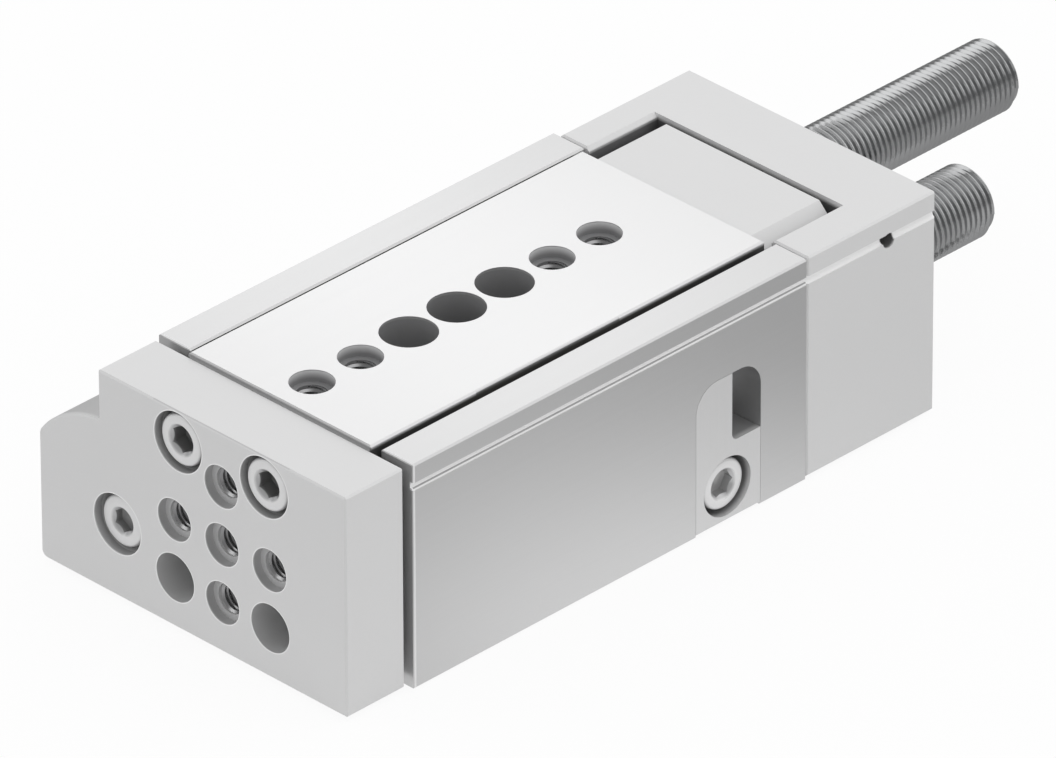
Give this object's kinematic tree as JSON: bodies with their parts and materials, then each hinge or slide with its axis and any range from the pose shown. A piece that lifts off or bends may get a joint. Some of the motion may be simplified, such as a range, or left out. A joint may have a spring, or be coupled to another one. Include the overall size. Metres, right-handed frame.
{
  "type": "pneumatic mini slide",
  "caption": "Compact pneumatic slide: ground carriage on ball guides in an aluminium housing, front yoke plate driven by a side cylinder, and threaded end stops at the rear.",
  "frame": {"origin": "on the mounting face under the housing, in the middle of its four threads", "axes": "+Y from the yoke plate to the rear stops (the slide advances along -Y), +Z out of the carriage face, +X to the side away from the cylinder"},
  "size_m": [0.0658, 0.1733, 0.0391],
  "materials": {
    "housing_aluminium": "satin, anodised",
    "plate_aluminium": "satin, anodised",
    "ground_steel": "finely ground",
    "clamp_steel": "satin",
    "hardened_steel": "ground and hardened",
    "stop_steel": "threaded, dark bright steel",
    "screw_steel": "zinc plated",
    "polished_steel": "polished",
    "bronze": "turned",
    "piston_aluminium": "turned",
    "sealing_rubber": "matt black",
    "buffer_rubber": "matt black",
    "magnet": "bonded magnet, matt"
  },
  "bodies": {
    "housing_unit": {"housing": "housing_aluminium", "end_cap": "plate_aluminium", "cap_screws": "screw_steel", "guide_rail_left": "hardened_steel", "guide_rail_right": "hardened_steel", "clamp_block": "clamp_steel", "clamp_screw": "screw_steel", "rod_bearing": "bronze", "rod_seal": "sealing_rubber", "rod_retaining_ring": "hardened_steel", "cylinder_end_plug": "piston_aluminium", "end_plug_seal": "sealing_rubber", "stop_anvil": "hardened_steel"},
    "carriage": {"slide": "ground_steel", "yoke_plate": "plate_aluminium", "yoke_screws": "screw_steel", "rod_screw": "screw_steel", "piston_rod": "polished_steel", "piston": "piston_aluminium", "piston_seals": "sealing_rubber", "piston_magnet": "magnet", "stop_bracket": "plate_aluminium", "bracket_screws": "screw_steel", "stop_lug": "hardened_steel", "lug_screw": "screw_steel", "stop_lock_nut": "stop_steel"},
    "advance_stop_unit": {"advance_stop": "stop_steel", "advance_buffer": "buffer_rubber"},
    "retract_stop_unit": {"retract_stop": "stop_steel", "retract_buffer": "buffer_rubber"},
    "cage_left_unit": {"ball_cage_left": "bronze", "balls_left": "polished_steel"},
    "cage_right_unit": {"ball_cage_right": "bronze", "balls_right": "polished_steel"}
  },
  "joints": [
    {"name": "carriage_travel", "type": "slide", "parent": "housing_unit", "child": "carriage", "axis": [0, -1, 0], "range_m": [0, 0.03]},
    {"name": "cage_left_travel", "type": "slide", "parent": "housing_unit", "child": "cage_left_unit", "axis": [0, -1, 0], "range_m": [0, 0.015]},
    {"name": "cage_right_travel", "type": "slide", "parent": "housing_unit", "child": "cage_right_unit", "axis": [0, -1, 0], "range_m": [0, 0.015]},
    {"name": "advance_stop_turn", "type": "hinge", "parent": "carriage", "child": "advance_stop_unit", "pos_m": [-0.0087, 0.0757, 0.024], "axis": [0, 1, 0], "continuous": true},
    {"name": "retract_stop_turn", "type": "hinge", "parent": "housing_unit", "child": "retract_stop_unit", "pos_m": [0.0147, 0.0457, 0.024], "axis": [0, 1, 0], "continuous": true}
  ],
  "couplings": [
    {"joint": "cage_left_travel", "follows": "carriage_travel", "ratio": 0.5},
    {"joint": "cage_right_travel", "follows": "carriage_travel", "ratio": 0.5}
  ]
}
